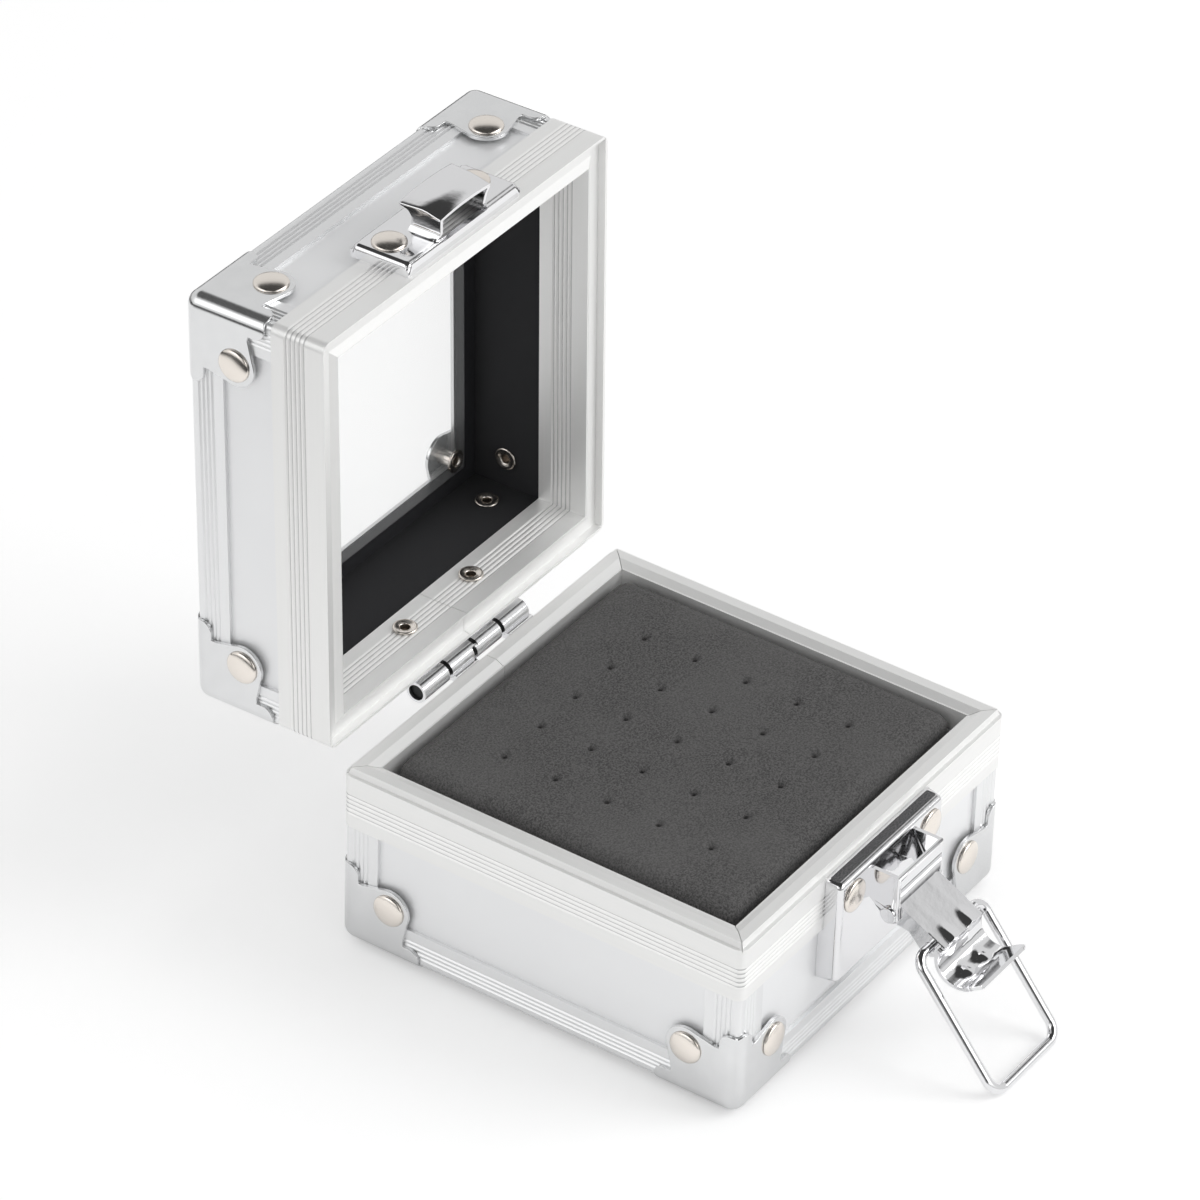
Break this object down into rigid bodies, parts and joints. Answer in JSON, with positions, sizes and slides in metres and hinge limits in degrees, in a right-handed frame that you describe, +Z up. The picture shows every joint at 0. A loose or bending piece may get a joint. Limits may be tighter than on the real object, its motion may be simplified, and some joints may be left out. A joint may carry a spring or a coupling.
{
  "type": "drill bit storage box",
  "caption": "Small square aluminium-framed box with a pierced foam block for bits, a hinged lid with a clear window, riveted corner caps and a draw latch.",
  "frame": {"origin": "on the surface that the box stands on, below the middle of the base", "axes": "+Z up; -Y the front with the latch; +Y the back with the hinge; +X along the hinge to the right seen from the front"},
  "size_m": [0.098, 0.1728, 0.1507],
  "materials": {
    "rim_aluminium": "satin, bright anodised",
    "edge_aluminium": "satin, grooved extrusion",
    "board_silver": "smooth silver laminate on board",
    "cap_chrome": "satin chrome on pressed steel",
    "latch_chrome": "polished chrome on pressed steel",
    "rivet_nickel": "pale warm nickel, soft polish",
    "pin_black": "blackened steel",
    "lining_black": "matt black lining",
    "foam": "dense charcoal foam, fine open grain",
    "window_acrylic": "clear polished acrylic"
  },
  "bodies": {
    "base": {"base_front_board": "board_silver", "base_right_board": "board_silver", "base_back_board": "board_silver", "base_left_board": "board_silver", "base_bottom_board": "board_silver", "base_rim": "rim_aluminium", "base_lining": "lining_black", "foam_block": "foam", "base_edge_front_left": "edge_aluminium", "base_edge_front_right": "edge_aluminium", "base_edge_back_right": "edge_aluminium", "base_edge_back_left": "edge_aluminium", "bottom_edge_front": "edge_aluminium", "bottom_edge_right": "edge_aluminium", "bottom_edge_back": "edge_aluminium", "bottom_edge_left": "edge_aluminium", "base_cap_front_left": "cap_chrome", "base_cap_front_right": "cap_chrome", "base_cap_back_right": "cap_chrome", "base_cap_back_left": "cap_chrome", "base_cap_rivets": "rivet_nickel", "hinge_base_leaf": "latch_chrome", "hinge_base_rivets": "rivet_nickel", "hinge_pin": "pin_black", "latch_plate": "latch_chrome", "latch_bracket": "latch_chrome", "latch_rivets": "rivet_nickel", "lever_pin": "latch_chrome"},
    "lid": {"lid_front_board": "board_silver", "lid_right_board": "board_silver", "lid_back_board": "board_silver", "lid_left_board": "board_silver", "window_pane": "window_acrylic", "lid_rim": "rim_aluminium", "lid_lining": "lining_black", "lid_edge_front_left": "edge_aluminium", "lid_edge_front_right": "edge_aluminium", "lid_edge_back_right": "edge_aluminium", "lid_edge_back_left": "edge_aluminium", "top_edge_front": "edge_aluminium", "top_edge_right": "edge_aluminium", "top_edge_back": "edge_aluminium", "top_edge_left": "edge_aluminium", "lid_cap_front_left": "cap_chrome", "lid_cap_front_right": "cap_chrome", "lid_cap_back_right": "cap_chrome", "lid_cap_back_left": "cap_chrome", "lid_cap_rivets": "rivet_nickel", "hinge_lid_leaf": "latch_chrome", "hinge_lid_rivets": "rivet_nickel", "keeper_plate": "latch_chrome", "keeper_rivets": "rivet_nickel"},
    "lever": {"latch_lever": "latch_chrome"},
    "bail": {"latch_bail": "latch_chrome"}
  },
  "joints": [
    {"name": "lid_hinge", "type": "hinge", "parent": "base", "child": "lid", "pos_m": [0, 0.0509, 0.0428], "axis": [1, 0, 0], "range_deg": [0, 91.3]},
    {"name": "lever_pivot", "type": "hinge", "parent": "base", "child": "lever", "pos_m": [0, -0.0561, 0.0306], "axis": [1, 0, 0], "range_deg": [0, 62]},
    {"name": "bail_swing", "type": "hinge", "parent": "lever", "child": "bail", "pos_m": [0, -0.06502, 0.02586], "axis": [-1, 0, 0], "range_deg": [0, 208]}
  ],
  "couplings": [
    {"joint": "lever_pivot", "follows": "bail_swing", "ratio": 0.298}
  ]
}
